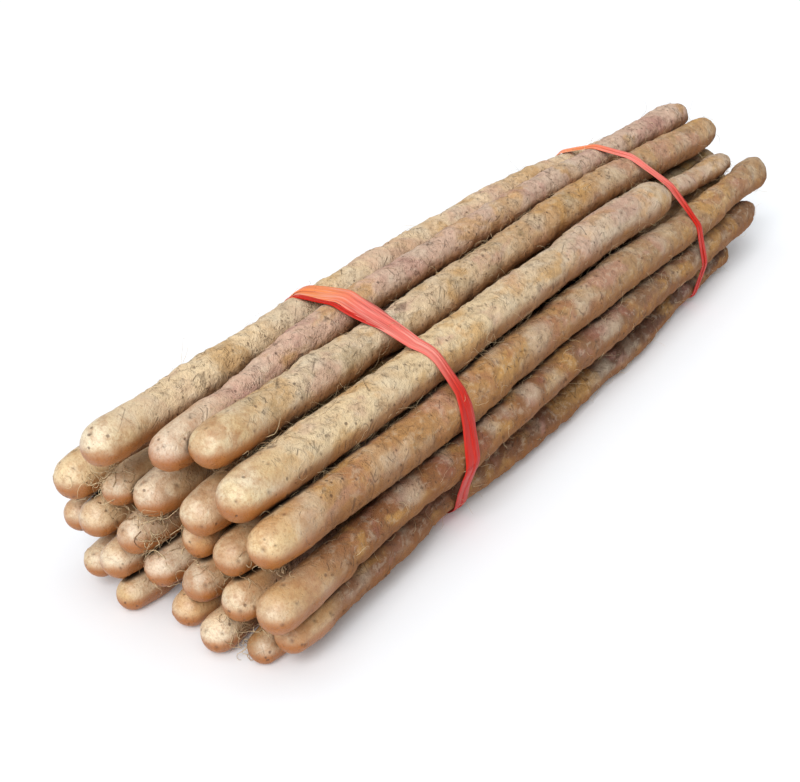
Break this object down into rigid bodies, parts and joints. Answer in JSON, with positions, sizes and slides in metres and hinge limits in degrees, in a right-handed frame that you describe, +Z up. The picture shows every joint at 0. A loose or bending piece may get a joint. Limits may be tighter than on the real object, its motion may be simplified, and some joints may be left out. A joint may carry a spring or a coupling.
{
  "type": "tied bundle of yam tubers",
  "caption": "Long slender yam tubers lying side by side, thick rounded ends together, bound near both ends by knotted red plastic tape.",
  "frame": {"origin": "on the table, under the middle of the bundle's bounding box", "axes": "+X along the bundle, from the thick rounded ends towards the thin necks; +Z up"},
  "size_m": [0.728, 0.1872, 0.1305],
  "materials": {
    "skin": "rough yam skin, beige to ochre, dull",
    "tape": "shiny red pleated plastic tape"
  },
  "bodies": {
    "root": {"tuber_a": "skin", "tuber_b": "skin", "tuber_c": "skin", "tuber_d": "skin", "tuber_e": "skin", "tuber_f": "skin", "tuber_g": "skin", "tuber_h": "skin", "tuber_i": "skin", "tuber_j": "skin", "tuber_k": "skin", "tuber_l": "skin", "tuber_m": "skin", "tuber_n": "skin", "tuber_o": "skin", "tuber_p": "skin", "tuber_q": "skin", "tuber_r": "skin", "tuber_s": "skin", "tuber_t": "skin", "tuber_u": "skin", "tuber_v": "skin", "tuber_w": "skin", "tuber_x": "skin", "tuber_y": "skin", "tape_front": "tape", "tape_back": "tape"}
  },
  "joints": []
}
